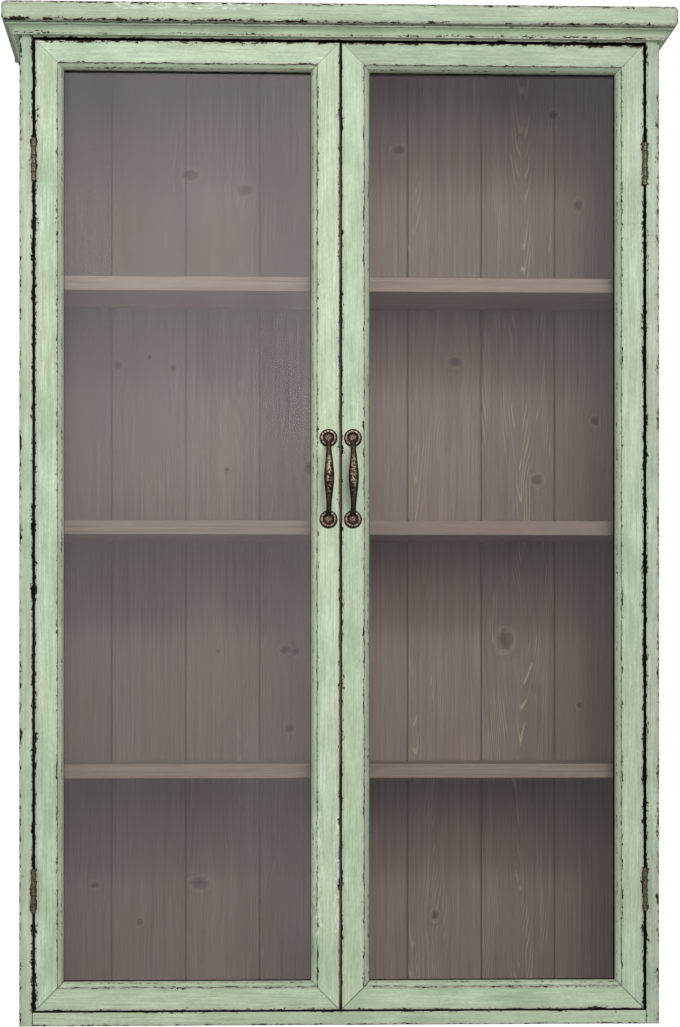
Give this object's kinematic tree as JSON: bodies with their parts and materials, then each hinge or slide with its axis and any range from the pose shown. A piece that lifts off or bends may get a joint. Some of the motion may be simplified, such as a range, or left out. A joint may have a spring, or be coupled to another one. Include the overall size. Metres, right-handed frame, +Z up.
{
  "type": "glazed wall cupboard",
  "caption": "Tall painted wooden wall cupboard with an overhanging moulded top, glazed double doors on butt hinges with bow pulls, and open shelves on a boarded back.",
  "frame": {"origin": "centre of the underside, midway between the front and back of the box", "axes": "+X to the right of someone facing the doors, +Y to the back, +Z up"},
  "size_m": [0.795, 0.2801, 1.2],
  "materials": {
    "painted_pine": "pale green paint, satin, chipped along the arrises to dark wood",
    "stained_pine": "grey-brown stain with knots, matt",
    "bare_beech": "bare",
    "clear_glass": "clear float glass",
    "antique_bronze": "cast and plated, dark antique bronze rubbed bright on the high spots",
    "hinge_pin_steel": "drawn, darkened",
    "zinc_steel": "zinc plated",
    "plated_steel": "nickel plated",
    "moulded_plastic": "moulded, brown"
  },
  "bodies": {
    "cabinet": {"back_board_1": "stained_pine", "back_board_2": "stained_pine", "back_board_3": "stained_pine", "back_board_4": "stained_pine", "back_board_5": "stained_pine", "back_board_6": "stained_pine", "back_board_7": "stained_pine", "back_board_8": "stained_pine", "back_nails": "zinc_steel", "bottom_board": "painted_pine", "carcass_dowels": "bare_beech", "case_screws": "zinc_steel", "ceiling_board": "painted_pine", "crown_moulding_front": "painted_pine", "crown_moulding_left": "painted_pine", "crown_moulding_right": "painted_pine", "left_catch_case": "moulded_plastic", "left_catch_magnet": "plated_steel", "left_lower_hinge_case_leaf": "antique_bronze", "left_lower_hinge_pin": "hinge_pin_steel", "left_side_panel": "painted_pine", "left_upper_hinge_case_leaf": "antique_bronze", "left_upper_hinge_pin": "hinge_pin_steel", "right_catch_case": "moulded_plastic", "right_catch_magnet": "plated_steel", "right_lower_hinge_case_leaf": "antique_bronze", "right_lower_hinge_pin": "hinge_pin_steel", "right_side_panel": "painted_pine", "right_upper_hinge_case_leaf": "antique_bronze", "right_upper_hinge_pin": "hinge_pin_steel", "shelf_lower": "stained_pine", "shelf_middle": "stained_pine", "shelf_pegs": "zinc_steel", "shelf_upper": "stained_pine", "top_board": "painted_pine", "top_board_screws": "zinc_steel"},
    "left_door": {"left_bottom_rail": "painted_pine", "left_door_screws": "zinc_steel", "left_glass": "clear_glass", "left_glazing_beads": "painted_pine", "left_hinge_stile": "painted_pine", "left_lower_hinge_door_leaf": "antique_bronze", "left_meeting_stile": "painted_pine", "left_pull": "antique_bronze", "left_pull_screws": "antique_bronze", "left_strike_plate": "plated_steel", "left_top_rail": "painted_pine", "left_upper_hinge_door_leaf": "antique_bronze"},
    "right_door": {"right_bottom_rail": "painted_pine", "right_door_screws": "zinc_steel", "right_glass": "clear_glass", "right_glazing_beads": "painted_pine", "right_hinge_stile": "painted_pine", "right_lower_hinge_door_leaf": "antique_bronze", "right_meeting_stile": "painted_pine", "right_pull": "antique_bronze", "right_pull_screws": "antique_bronze", "right_strike_plate": "plated_steel", "right_top_rail": "painted_pine", "right_upper_hinge_door_leaf": "antique_bronze"}
  },
  "joints": [
    {"name": "left_door_hinge", "type": "hinge", "parent": "cabinet", "child": "left_door", "pos_m": [-0.3605, -0.1279, 0.5885], "axis": [0, 0, -1], "range_deg": [0, 180]},
    {"name": "right_door_hinge", "type": "hinge", "parent": "cabinet", "child": "right_door", "pos_m": [0.3605, -0.1279, 0.5885], "axis": [0, 0, 1], "range_deg": [0, 180]}
  ]
}
